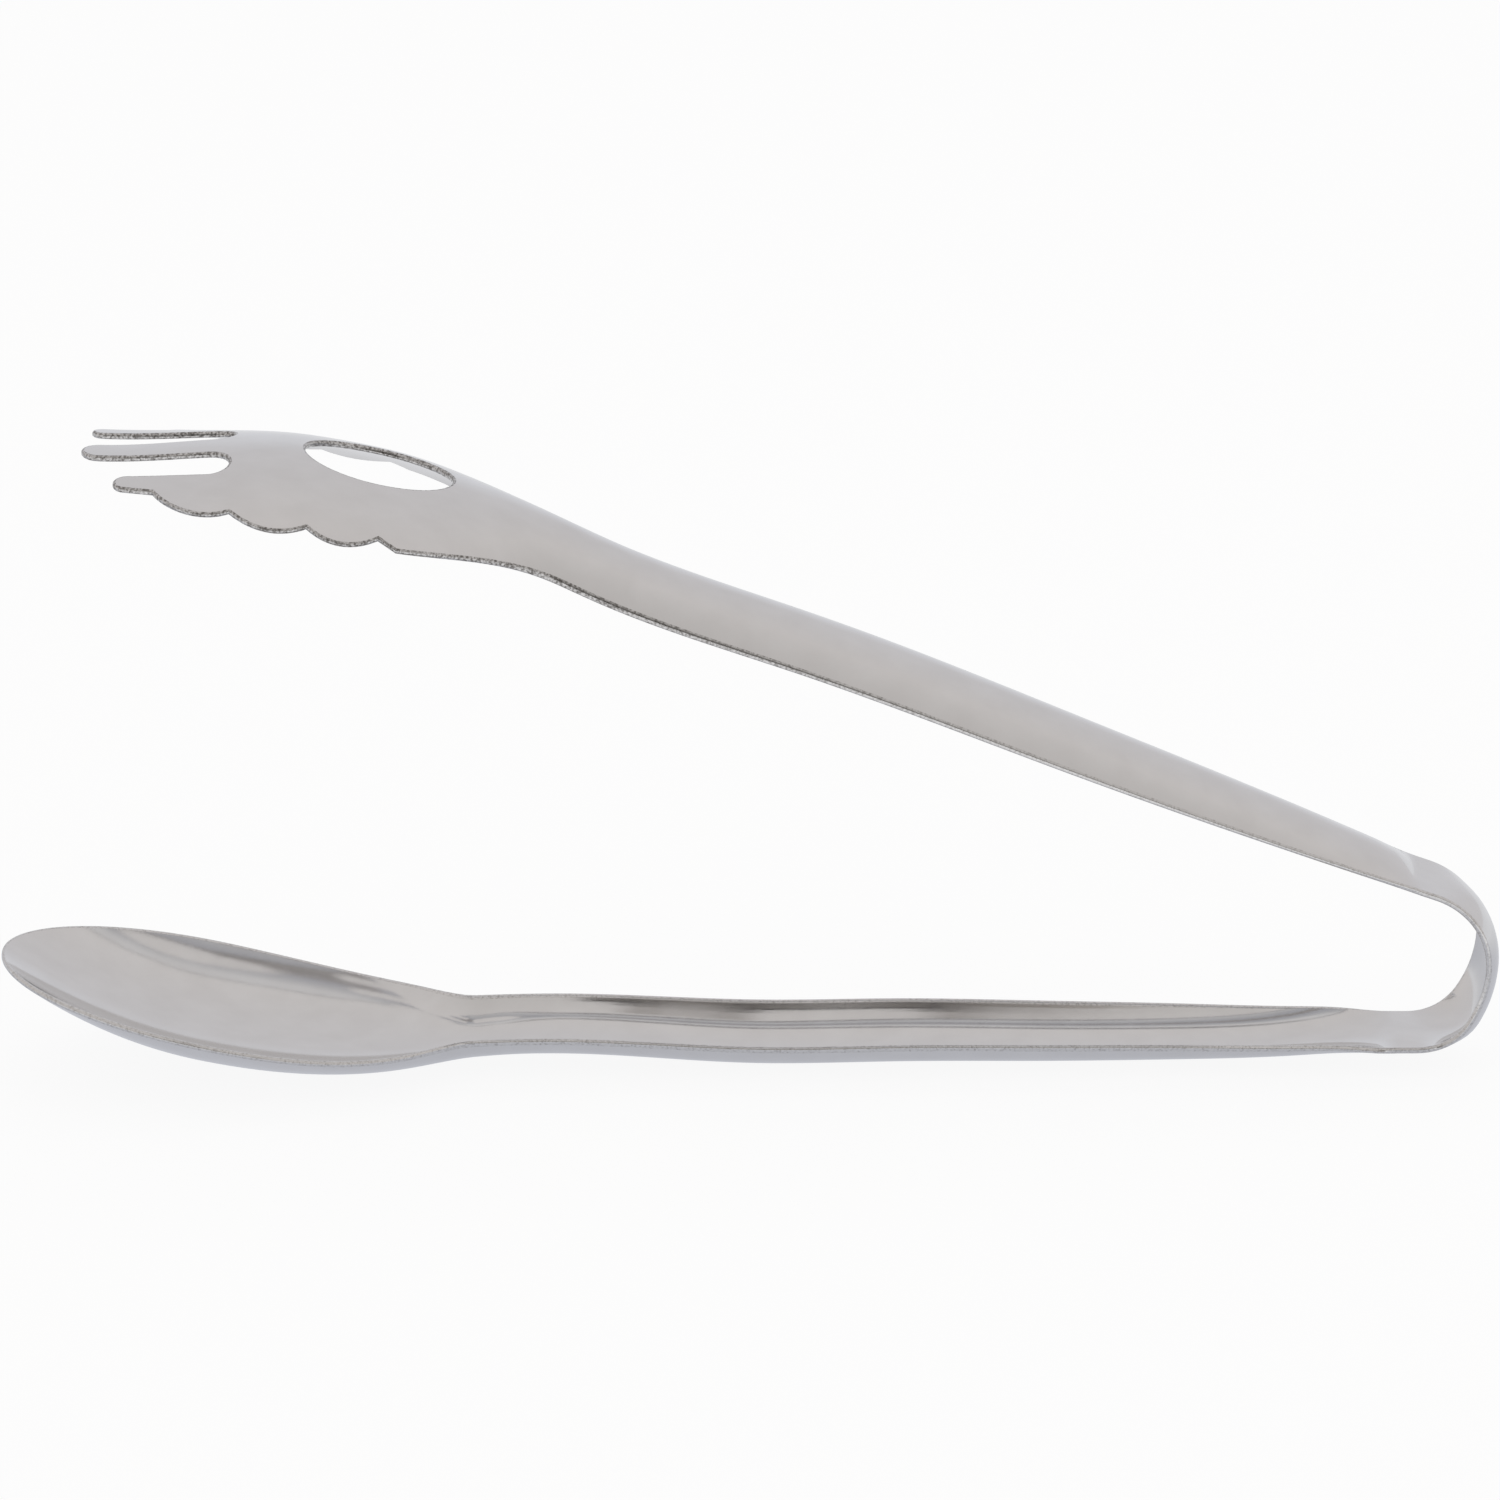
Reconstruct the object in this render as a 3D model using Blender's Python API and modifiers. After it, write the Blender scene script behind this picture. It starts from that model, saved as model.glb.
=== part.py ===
"""Spring serving tongs: a spoon arm and a fork arm joined by a bow, all pressed from one strip of sheet.

Metres, +Z up. +X points at the bow and the heads are at -X. The strip's middle runs along the XZ plane.
The tongs rest on the keel of the spoon arm's handle and on the belly of its bowl, at z = 0.
A place along an arm is measured from its flex line, which is the middle of the flat neck beside the bow.
A height over an arm is measured towards the other arm, and a press depth away from it.
"""

import math

import bmesh
import bpy
import numpy as np

# Sheet and living hinges
SHEET = 0.0010
PIECE_GAP = 0.0003
NECK_FLAT = 0.0012

# Strip widths between its long edges
NECK_WIDTH = 0.0146
TAPER_WIDTH = 0.0155
GRIP_WIDTH = 0.0176
WAIST_WIDTH = 0.0169
BOW_WIDTH = 0.0147
TAPER_PLACE_SHARE = 0.165
GRIP_PLACE_SHARE = 0.42
WAIST_PLACE_SHARE = 0.605
HEAD_PLACE_SHARE = 0.75

# Bow, as its inner edge line runs from the lower neck to the upper neck
LOWER_BEND_RADIUS = 0.0090
LOWER_BEND_ANGLE = 59.3
BACK_RADIUS = 0.0202
BACK_ANGLE = 23.6
UPPER_BEND_RADIUS = 0.0124
ARM_SPREAD_ANGLE = 19.5
LOWER_BOW_DEPTH = 0.0031
UPPER_BOW_DEPTH = 0.0010
BOW_RUN_IN = 0.0090

# Channel pressed along both handles
NECK_DEPTH = 0.0013
NECK_RUN_IN = 0.0040
CHANNEL_LEAD = 0.0080
SPOON_RUN_IN = 0.0220
FORK_RUN_IN = 0.0300
SPOON_GRIP_DEPTH = 0.0051
SPOON_WAIST_DEPTH = 0.0046
FORK_GRIP_DEPTH = 0.0056
FORK_WAIST_DEPTH = 0.0058
WAIST_BEND_SHARE = 0.45

# Spoon arm
SPOON_LENGTH = 0.2228
BOWL_WIDTH = 0.0395
BOWL_FRONT = 0.0329
BOWL_BACK = 0.0427
BOWL_DEPTH = 0.0082
BOWL_MOUTH = 0.0520
SHOULDER_FILLET = 0.0035
SPOON_RISE = 0.0142
SPOON_RISE_PLACE_SHARES = (0, 0.033, 0.074, 0.16, 0.254, 0.36, 0.456, 0.605, 0.658, 0.726, 0.852, 1)
SPOON_RISE_SHARES = (0, 0.042, 0.057, 0.077, 0.093, 0.106, 0.088, 0.176, 0.157, 0.141, 0.47, 1)

# Fork arm
FORK_LENGTH = 0.2204
HEAD_WIDTH = 0.0389
HEAD_FRONT = 0.0333
HEAD_BACK = 0.0416
HEAD_SHOULDER = 0.0302
HEAD_DEPTH = 0.0067
HEAD_MOUTH = 0.0357
TIP_DEPTH = 0.0027
FORK_RISE = 0.0062
FORK_RISE_PLACE_SHARES = (0, 0.093, 0.276, 0.48, 0.631, 0.685, 0.754, 0.881, 1)
FORK_RISE_SHARES = (0, -0.028, -0.231, -0.516, -0.628, -0.84, -0.862, -0.192, 0.854)

# Tines
TINE_LENGTH = 0.0222
NEAR_TINE_SETBACK = 0.0057
FAR_TINE_SETBACK = 0.0006
SLOT_WIDTH = 0.0063
MIDDLE_TINE_WIDTH = 0.0062
MIDDLE_TIP_WIDTH = 0.0054
OUTER_TINE_WIDTH = 0.0038

# Scalloped sides, from the tines back to the shoulder
SCALLOP_START = 0.0117
SCALLOP_PITCH = 0.0116
SCALLOP_BULGE = 0.0017
SCALLOP_PLACE_SHARES = (0, 1, 2, 2.93, 3.9)
SCALLOP_WIDTH_SHARES = (0.71, 0.8865, 0.9376, 0.928, 0.95)
SCALLOP_BULGE_SHARES = (1.35, 1, 1, 0.55)

# Drain hole
HOLE_LENGTH = 0.0221
HOLE_WIDTH = 0.0150
HOLE_PLACE = 0.0439

# Mesh: where its columns stand across the strip, and how many rows each stretch has
COLUMN_SHARES = (-1, -0.91, -0.8, -0.68, -0.53, -0.36, -0.18, 0, 0.18, 0.36, 0.53, 0.68, 0.8, 0.91, 1)
ARM_ROW_SHARES = (0.18, 0.58, 0.84)
ARM_ROWS = (9, 12, 14, 12)
BOW_ROWS = (1, 9, 5, 8, 2)
ARC_POINTS = 7
HOLE_POINTS = 40
CUT_OVERRUN = 0.0050
SHARP_ANGLE = 35

STEEL_COLOUR = (0.72, 0.71, 0.70, 1.0)
STEEL_ROUGHNESS = 0.22


def clear_scene():
    for thing in list(bpy.data.objects):
        bpy.data.objects.remove(thing)


def new_collection(name):
    collection = bpy.data.collections.new(name)
    bpy.context.scene.collection.children.link(collection)
    return collection


def steel(name):
    material = bpy.data.materials.new(name)
    material.use_nodes = True
    shader = material.node_tree.nodes["Principled BSDF"]
    shader.inputs["Base Color"].default_value = STEEL_COLOUR
    shader.inputs["Metallic"].default_value = 1
    shader.inputs["Roughness"].default_value = STEEL_ROUGHNESS
    material.diffuse_color = STEEL_COLOUR
    return material


# Curves


def smooth_curve(places, values):
    """The cubic spline through the places, level at its start. Gives the value and the slope at a place."""
    x = np.array(places, float)
    y = np.array(values, float)
    step = np.diff(x)
    slope = np.diff(y) / step
    count = len(x)
    system = np.zeros((count, count))
    right = np.zeros(count)
    system[0, 0] = 1
    for i in range(1, count - 1):
        system[i, i - 1] = step[i]
        system[i, i] = 2 * (step[i - 1] + step[i])
        system[i, i + 1] = step[i - 1]
        right[i] = 3 * (step[i] * slope[i - 1] + step[i - 1] * slope[i])
    system[-1, -2:] = 1, 2
    right[-1] = 3 * slope[-1]
    tangent = np.linalg.solve(system, right)

    def curve(place):
        place = np.clip(place, x[0], x[-1])
        i = np.clip(np.searchsorted(x, place, side="right") - 1, 0, count - 2)
        t = (place - x[i]) / step[i]
        bend = tangent[i] * (1 - t) - tangent[i + 1] * t
        value = y[i] + (y[i + 1] - y[i]) * t * t * (3 - 2 * t) + step[i] * t * (1 - t) * bend
        lean = tangent[i] * (1 - t) * (1 - 3 * t) + tangent[i + 1] * t * (3 * t - 2)
        return value, 6 * slope[i] * t * (1 - t) + lean

    return curve


def ease(share):
    share = np.clip(share, 0, 1)
    return share * share * (3 - 2 * share)


def wider(first, second, fillet):
    """The larger of two widths, with a fillet where they cross."""
    close = np.clip(1 - np.abs(first - second) / fillet, 0, 1)
    return np.maximum(first, second) + fillet / 4 * close**2


# The strip as a surface: a middle line in the XZ plane, with a width and a press depth at each place


class Strip:
    """line gives x, z and the direction's angle at a place. width and depth give the section there."""

    def __init__(self, line, width, depth, outward):
        self.line = line
        self.width = width
        self.depth = depth
        self.outward = outward

    def section(self, place, across):
        """How far the sheet's inner face lies outside the edge line, and how steep it is there."""
        half = np.maximum(self.width(place), PIECE_GAP / 100) / 2
        depth = self.depth(place)
        bend = 2 * depth / (half * half + depth * depth)
        rise = bend * across
        level = np.sqrt(np.clip(1 - rise * rise, 0, 1))
        return depth - rise * across / (1 + level), np.arcsin(np.clip(rise, -1, 1))

    def point(self, place, across, through):
        """A point of the sheet, with through running from 0 at its inner face to 1 at its outer face."""
        x, z, angle = self.line(place)
        sag, steep = self.section(place, across)
        away = sag + through * SHEET * np.cos(steep)
        side = across + through * SHEET * np.sin(steep)
        out_x = -self.outward * np.sin(angle)
        out_z = self.outward * np.cos(angle)
        return x + away * out_x, side, z + away * out_z


def arm_line(root, heading, rise, turn):
    """An arm's edge line from its flex line. rise is its height over the straight line along heading."""

    def line(place):
        height, slope = rise(place)
        x = root[0] + place * math.cos(heading) - turn * height * math.sin(heading)
        z = root[1] + place * math.sin(heading) + turn * height * math.cos(heading)
        return x, z, heading + turn * np.arctan(slope)

    return line


def handle_half_width(length):
    places = [0]
    for share in (TAPER_PLACE_SHARE, GRIP_PLACE_SHARE, WAIST_PLACE_SHARE, HEAD_PLACE_SHARE):
        places.append(share * length)
    widths = (NECK_WIDTH, TAPER_WIDTH, GRIP_WIDTH, WAIST_WIDTH, WAIST_WIDTH)
    curve = smooth_curve(places, np.array(widths) / 2)
    return lambda place: curve(place)[0]


def egg_half_width(place, length, width, front, back):
    """An egg with one half ellipse towards the tip and a longer one towards the handle."""
    centre = length - front
    reach = np.where(place > centre, (place - centre) / front, (centre - place) / back)
    return width / 2 * np.sqrt(np.clip(1 - reach**2, 0, 1))


def channel_depth(place, length, grip, waist, run_in):
    """The handle's press depth: none at the flat neck, and the waist's from a little before the waist."""
    run = np.clip(place - NECK_FLAT, 0, None)
    bend = WAIST_BEND_SHARE * length
    turn = ease((place - bend) / (WAIST_PLACE_SHARE * length - bend))
    neck = NECK_DEPTH * ease(run / NECK_RUN_IN)
    press = (1 - np.exp(-run / run_in)) * ease(run / CHANNEL_LEAD)
    return neck + (grip + (waist - grip) * turn - NECK_DEPTH) * press


def spoon_strip(root):
    handle = handle_half_width(SPOON_LENGTH)
    centre = SPOON_LENGTH - BOWL_FRONT
    rise_places = np.array(SPOON_RISE_PLACE_SHARES) * (SPOON_LENGTH - NECK_FLAT) + NECK_FLAT
    rise_curve = smooth_curve(rise_places, np.array(SPOON_RISE_SHARES) * SPOON_RISE)

    def width(place):
        egg = egg_half_width(place, SPOON_LENGTH, BOWL_WIDTH, BOWL_FRONT, BOWL_BACK)
        return 2 * np.where(place > centre, egg, wider(handle(place), egg, SHOULDER_FILLET))

    def depth(place):
        depths = (SPOON_GRIP_DEPTH, SPOON_WAIST_DEPTH)
        handle_depth = channel_depth(place, SPOON_LENGTH, *depths, SPOON_RUN_IN)
        mouth = ease((place - centre + BOWL_MOUTH) / BOWL_MOUTH)
        front = 1 - np.clip((place - centre) / BOWL_FRONT, 0, 1) ** 2
        return handle_depth + (BOWL_DEPTH * front - handle_depth) * mouth

    return Strip(arm_line(root, math.pi, rise_curve, -1), width, depth, 1)


def fork_strip(root):
    handle = handle_half_width(FORK_LENGTH)
    centre = FORK_LENGTH - HEAD_FRONT
    rise_places = np.array(FORK_RISE_PLACE_SHARES) * (FORK_LENGTH - NECK_FLAT) + NECK_FLAT
    rise_curve = smooth_curve(rise_places, np.array(FORK_RISE_SHARES) * FORK_RISE)

    def width(place):
        shoulder = ease((place - centre + HEAD_BACK) / HEAD_SHOULDER)
        return 2 * handle(place) + (HEAD_WIDTH - 2 * handle(place)) * shoulder

    def depth(place):
        depths = (FORK_GRIP_DEPTH, FORK_WAIST_DEPTH)
        handle_depth = channel_depth(place, FORK_LENGTH, *depths, FORK_RUN_IN)
        mouth = ease((place - centre + HEAD_MOUTH) / HEAD_MOUTH)
        front = ease((place - centre) / HEAD_FRONT)
        return handle_depth + (HEAD_DEPTH - handle_depth) * mouth + (TIP_DEPTH - HEAD_DEPTH) * front

    heading = math.pi - math.radians(ARM_SPREAD_ANGLE)
    return Strip(arm_line(root, heading, rise_curve, 1), width, depth, -1)


# Bow


def bow_turns():
    """The radius and the length of each stretch, from the lower neck to the upper neck."""
    last = 180 - ARM_SPREAD_ANGLE - LOWER_BEND_ANGLE - BACK_ANGLE
    return (
        (math.inf, NECK_FLAT),
        (LOWER_BEND_RADIUS, LOWER_BEND_RADIUS * math.radians(LOWER_BEND_ANGLE)),
        (BACK_RADIUS, BACK_RADIUS * math.radians(BACK_ANGLE)),
        (UPPER_BEND_RADIUS, UPPER_BEND_RADIUS * math.radians(last)),
        (math.inf, NECK_FLAT),
    )


def bow_length():
    return sum(length for _, length in bow_turns())


def bow_line(root):
    def line(place):
        place = np.asarray(place, float)
        x = np.full(place.shape, float(root[0]))
        z = np.full(place.shape, float(root[1]))
        angle = np.zeros(place.shape)
        start = 0
        for radius, length in bow_turns():
            run = np.clip(place - start, 0, length)
            turned = run / radius
            chord = run * np.sinc(turned / (2 * math.pi))
            x += chord * np.cos(angle + turned / 2)
            z += chord * np.sin(angle + turned / 2)
            angle += turned
            start += length
        return x, z, angle

    return line


def bow_strip(root):
    length = bow_length()

    def width(place):
        from_neck = np.minimum(place, length - place) - NECK_FLAT
        return NECK_WIDTH + (BOW_WIDTH - NECK_WIDTH) * ease(from_neck / BOW_RUN_IN)

    def depth(place):
        from_neck = np.minimum(place, length - place) - NECK_FLAT
        middle = LOWER_BOW_DEPTH + (UPPER_BOW_DEPTH - LOWER_BOW_DEPTH) * ease(place / length)
        return middle * ease(from_neck / BOW_RUN_IN)

    return Strip(bow_line(root), width, depth, -1)


# Rows of the meshes


def arm_rows(length):
    """Places of the rows, closer together at the neck and towards the end of the head."""
    rows = [PIECE_GAP / 2]
    ends = [NECK_FLAT] + [share * length for share in ARM_ROW_SHARES]
    for start, end, count in zip(ends[:-1], ends[1:], ARM_ROWS):
        rows.extend(np.linspace(start, end, count, endpoint=False))
    turn = np.linspace(0, math.pi / 2, ARM_ROWS[-1] + 1)
    rows.extend(ends[-1] + (length - ends[-1]) * np.sin(turn))
    return np.array(rows)


def bow_rows():
    rows = []
    start = 0
    for (_, length), count in zip(bow_turns(), BOW_ROWS):
        rows.extend(np.linspace(start, start + length, count, endpoint=False))
        start += length
    rows.append(start - PIECE_GAP / 2)
    rows[0] += PIECE_GAP / 2
    return np.array(rows)


def grid_faces(rows, columns):
    faces = []
    for row in range(rows - 1):
        for column in range(columns - 1):
            corner = row * columns + column
            faces.append((corner, corner + 1, corner + columns + 1, corner + columns))
    return faces


# Spoon arm and bow: the inner face as an open surface, thickened outwards


def sheet_shell(name, strip, rows, origin, collection):
    places = np.repeat(rows, len(COLUMN_SHARES))
    across = np.tile(COLUMN_SHARES, len(rows)) * strip.width(places) / 2
    x, y, z = strip.point(places, across, 0)
    points = np.stack([x - origin[0], y, z - origin[1]], axis=1).tolist()
    mesh = bpy.data.meshes.new(name)
    mesh.from_pydata(points, [], grid_faces(len(rows), len(COLUMN_SHARES)))
    work = bmesh.new()
    work.from_mesh(mesh)
    bmesh.ops.remove_doubles(work, verts=work.verts, dist=PIECE_GAP / 100)
    if strip.outward > 0:
        bmesh.ops.reverse_faces(work, faces=work.faces)
    work.to_mesh(mesh)
    work.free()
    mesh.shade_smooth()
    thing = bpy.data.objects.new(name, mesh)
    collection.objects.link(thing)
    thickness = thing.modifiers.new("sheet", "SOLIDIFY")
    thickness.thickness = SHEET
    thickness.offset = 1
    thickness.use_even_offset = True
    return thing


# Fork arm: a flat blank, cut to its outline and then pressed


def arc_points(start, end, bulge):
    """Points after start, up to and including end, on the arc that bulges to the left of the way there."""
    start, end = np.array(start), np.array(end)
    chord = end - start
    half = np.linalg.norm(chord) / 2
    left = np.array([-chord[1], chord[0]]) / (2 * half)
    radius = (half * half + bulge * bulge) / (2 * bulge)
    centre = (start + end) / 2 + left * (bulge - radius)
    half_angle = math.asin(min(half / radius, 1))
    if bulge > radius:
        half_angle = math.pi - half_angle
    along = chord / (2 * half)
    turns = np.linspace(-half_angle, half_angle, ARC_POINTS + 1)[1:]
    return [tuple(centre + radius * (along * math.sin(turn) + left * math.cos(turn))) for turn in turns]


def scallop_cusps():
    """Places and half widths of the cusps, from the tines back to the shoulder."""
    cusps = []
    for place_share, share in zip(SCALLOP_PLACE_SHARES, SCALLOP_WIDTH_SHARES):
        place = FORK_LENGTH - SCALLOP_START - place_share * SCALLOP_PITCH
        cusps.append((place, share * HEAD_WIDTH / 2))
    return cusps


def side_outline(tine_setback):
    """One side of the head's outline at +Y, from the handle round the outer tine to the middle tip."""
    blank_side = HEAD_WIDTH / 2 + CUT_OVERRUN * 2
    cusps = scallop_cusps()[::-1]
    points = [(-CUT_OVERRUN, blank_side), (cusps[0][0], blank_side), cusps[0]]
    for start, end, share in zip(cusps[:-1], cusps[1:], SCALLOP_BULGE_SHARES[::-1]):
        points.extend(arc_points(start, end, share * SCALLOP_BULGE))
    middle_side = MIDDLE_TINE_WIDTH / 2
    inner_side = middle_side + SLOT_WIDTH
    outer_side = inner_side + OUTER_TINE_WIDTH
    tip = FORK_LENGTH - tine_setback - OUTER_TINE_WIDTH / 2
    slot_end = FORK_LENGTH - TINE_LENGTH + SLOT_WIDTH / 2
    points.append((tip, outer_side))
    points.extend(arc_points((tip, outer_side), (tip, inner_side), OUTER_TINE_WIDTH / 2))
    points.append((slot_end, inner_side))
    points.extend(arc_points((slot_end, inner_side), (slot_end, middle_side), -SLOT_WIDTH / 2))
    points.append((FORK_LENGTH - MIDDLE_TIP_WIDTH / 2, MIDDLE_TIP_WIDTH / 2))
    return points


def fork_outline():
    far_side = side_outline(FAR_TINE_SETBACK)
    near_side = [(place, -across) for place, across in side_outline(NEAR_TINE_SETBACK)[::-1]]
    tip = arc_points(far_side[-1], near_side[0], MIDDLE_TIP_WIDTH / 2)[:-1]
    return far_side + tip + near_side


def hole_outline():
    turns = np.linspace(0, 2 * math.pi, HOLE_POINTS, endpoint=False)
    centre = FORK_LENGTH - HOLE_PLACE
    return [(centre + HOLE_LENGTH / 2 * math.cos(turn), HOLE_WIDTH / 2 * math.sin(turn)) for turn in turns]


def outline_prism(name, outlines, collection):
    """A flat filled outline with its holes, as a prism that stands through the blank."""
    curve = bpy.data.curves.new(name, "CURVE")
    curve.dimensions = "2D"
    curve.fill_mode = "BOTH"
    curve.extrude = CUT_OVERRUN
    for outline in outlines:
        spline = curve.splines.new("POLY")
        spline.points.add(len(outline) - 1)
        for point, (place, across) in zip(spline.points, outline):
            point.co = (place, across, 0, 1)
        spline.use_cyclic_u = True
    drawn = bpy.data.objects.new(name, curve)
    collection.objects.link(drawn)
    mesh = evaluated_mesh(drawn, name)
    bpy.data.objects.remove(drawn)
    work = bmesh.new()
    work.from_mesh(mesh)
    bmesh.ops.remove_doubles(work, verts=work.verts, dist=PIECE_GAP / 100)
    work.to_mesh(mesh)
    work.free()
    prism = bpy.data.objects.new(name, mesh)
    collection.objects.link(prism)
    prism.display_type = "WIRE"
    prism.hide_render = True
    return prism


def evaluated_mesh(thing, name):
    depsgraph = bpy.context.evaluated_depsgraph_get()
    mesh = bpy.data.meshes.new_from_object(thing.evaluated_get(depsgraph))
    mesh.name = name
    return mesh


def flat_blank(name, strip, collection):
    """The fork arm before pressing: places along X, widths along Y and the sheet's thickness along Z."""
    rows = np.append(arm_rows(FORK_LENGTH)[:-1], FORK_LENGTH + CUT_OVERRUN)
    notch = FORK_LENGTH - SCALLOP_START - SCALLOP_PLACE_SHARES[-2] * SCALLOP_PITCH
    margin = CUT_OVERRUN * ease((rows - notch) * 2 / SCALLOP_PITCH)
    half = strip.width(rows) / 2 + margin
    across = np.outer(half, COLUMN_SHARES).ravel()
    places = np.repeat(rows, len(COLUMN_SHARES))
    mesh = bpy.data.meshes.new(name)
    points = np.stack([places, across, np.zeros(len(places))], axis=1).tolist()
    mesh.from_pydata(points, [], grid_faces(len(rows), len(COLUMN_SHARES)))
    blank = bpy.data.objects.new(name, mesh)
    collection.objects.link(blank)
    thickness = blank.modifiers.new("sheet", "SOLIDIFY")
    thickness.thickness = SHEET
    thickness.offset = -1
    return blank


def pressed_fork_arm(name, strip, origin, collection, cutters):
    blank = flat_blank(name + "_blank", strip, cutters)
    prism = outline_prism(name + "_outline", (fork_outline(), hole_outline()), cutters)
    cut = blank.modifiers.new("outline", "BOOLEAN")
    cut.operation = "INTERSECT"
    cut.solver = "EXACT"
    cut.object = prism
    mesh = evaluated_mesh(blank, name)
    bpy.data.objects.remove(blank)
    bpy.data.objects.remove(prism)
    work = bmesh.new()
    work.from_mesh(mesh)
    bmesh.ops.remove_doubles(work, verts=work.verts, dist=PIECE_GAP / 100)
    bmesh.ops.triangulate(work, faces=work.faces)
    for vertex in work.verts:
        place, across, height = vertex.co
        x, y, z = strip.point(place, across, height / SHEET)
        vertex.co = (x - origin[0], y, z - origin[1])
    bmesh.ops.recalc_face_normals(work, faces=work.faces)
    work.to_mesh(mesh)
    work.free()
    mesh.shade_smooth()
    mesh.set_sharp_from_angle(angle=math.radians(SHARP_ANGLE))
    thing = bpy.data.objects.new(name, mesh)
    collection.objects.link(thing)
    return thing


# Assembly


def extent(things, axis):
    """The lowest and the highest coordinate of the finished pieces along an axis."""
    depsgraph = bpy.context.evaluated_depsgraph_get()
    reach = []
    for thing in things:
        solid = thing.evaluated_get(depsgraph)
        reach.extend((solid.matrix_world @ vertex.co)[axis] for vertex in solid.data.vertices)
    return min(reach), max(reach)


def build():
    clear_scene()
    parts = new_collection("serving_tongs")
    cutters = new_collection("cutters")

    # The lower flex line is the origin of the spoon arm and of the bow, half way through the sheet
    neck = (0, SHEET / 2)
    spoon = sheet_shell("spoon_arm", spoon_strip(neck), arm_rows(SPOON_LENGTH), (0, 0), parts)
    bow = sheet_shell("spring_bow", bow_strip(neck), bow_rows(), (0, 0), parts)

    # The upper flex line is where the bow's edge line ends, again half way through the sheet
    x, z, angle = bow_line(neck)(bow_length())
    flex = (float(x + SHEET / 2 * math.sin(angle)), float(z - SHEET / 2 * math.cos(angle)))
    fork = pressed_fork_arm("fork_arm", fork_strip((float(x), float(z))), flex, parts, cutters)
    fork.location = (flex[0], 0, flex[1])
    fork.parent = bow
    bow.parent = spoon
    for piece in (spoon, bow, fork):
        piece.data.materials.append(steel(piece.name + "_steel"))

    bpy.context.view_layer.update()
    left, right = extent((spoon, bow, fork), 0)
    spoon.location = (-(left + right) / 2, 0, -extent((spoon, bow, fork), 2)[0])
    bpy.context.view_layer.update()


build()
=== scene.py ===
"""Spring serving tongs in polished stainless sheet, on a pale studio floor.

Metres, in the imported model's frame: +X towards the bow, +Y away from the camera, +Z up.
The sheet is rebuilt finely from the same driving sizes as the solids, with rounded cut edges and no seam at
the necks: the spoon arm, the lower half of the bow, the upper half of the bow and the fork arm.
A place runs along a strip, across is sideways over it, and through goes from its inner to its outer face.
"""

import math

import bpy
import numpy as np
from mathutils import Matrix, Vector
from mathutils.geometry import delaunay_2d_cdt


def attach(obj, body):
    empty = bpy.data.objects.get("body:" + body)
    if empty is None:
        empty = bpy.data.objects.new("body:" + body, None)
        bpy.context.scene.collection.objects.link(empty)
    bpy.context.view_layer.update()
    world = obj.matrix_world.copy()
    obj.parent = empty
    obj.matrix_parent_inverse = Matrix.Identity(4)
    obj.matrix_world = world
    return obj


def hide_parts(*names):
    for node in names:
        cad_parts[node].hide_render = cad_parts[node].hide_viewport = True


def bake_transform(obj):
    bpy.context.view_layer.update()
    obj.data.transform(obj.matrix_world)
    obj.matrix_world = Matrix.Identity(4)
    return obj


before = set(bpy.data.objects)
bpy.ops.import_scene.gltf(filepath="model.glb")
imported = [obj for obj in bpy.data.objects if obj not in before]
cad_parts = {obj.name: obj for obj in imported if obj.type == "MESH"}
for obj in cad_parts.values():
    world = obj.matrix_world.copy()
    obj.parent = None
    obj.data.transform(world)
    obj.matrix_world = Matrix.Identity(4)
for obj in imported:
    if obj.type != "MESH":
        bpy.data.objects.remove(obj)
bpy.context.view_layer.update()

# Sheet
SHEET = 0.0010
NECK_FLAT = 0.0012
EDGE_RADIUS = 0.0004

# Strip widths between its long edges
NECK_WIDTH = 0.0146
TAPER_WIDTH = 0.0155
GRIP_WIDTH = 0.0176
WAIST_WIDTH = 0.0169
BOW_WIDTH = 0.0147
TAPER_PLACE_SHARE = 0.165
GRIP_PLACE_SHARE = 0.42
WAIST_PLACE_SHARE = 0.605
HEAD_PLACE_SHARE = 0.75

# Bow
LOWER_BEND_RADIUS = 0.0090
LOWER_BEND_ANGLE = 59.3
BACK_RADIUS = 0.0202
BACK_ANGLE = 23.6
UPPER_BEND_RADIUS = 0.0124
ARM_SPREAD_ANGLE = 19.5
LOWER_BOW_DEPTH = 0.0031
UPPER_BOW_DEPTH = 0.0010
BOW_RUN_IN = 0.0090

# Channel pressed along both handles
NECK_DEPTH = 0.0013
NECK_RUN_IN = 0.0040
CHANNEL_LEAD = 0.0080
SPOON_RUN_IN = 0.0220
FORK_RUN_IN = 0.0300
SPOON_GRIP_DEPTH = 0.0051
SPOON_WAIST_DEPTH = 0.0046
FORK_GRIP_DEPTH = 0.0056
FORK_WAIST_DEPTH = 0.0058
WAIST_BEND_SHARE = 0.45

# Spoon arm
SPOON_LENGTH = 0.2228
BOWL_WIDTH = 0.0395
BOWL_FRONT = 0.0329
BOWL_BACK = 0.0427
BOWL_DEPTH = 0.0082
BOWL_MOUTH = 0.0520
SHOULDER_FILLET = 0.0035
SPOON_RISE = 0.0142
SPOON_RISE_PLACE_SHARES = (0, 0.033, 0.074, 0.16, 0.254, 0.36, 0.456, 0.605, 0.658, 0.726, 0.852, 1)
SPOON_RISE_SHARES = (0, 0.042, 0.057, 0.077, 0.093, 0.106, 0.088, 0.176, 0.157, 0.141, 0.47, 1)

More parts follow.
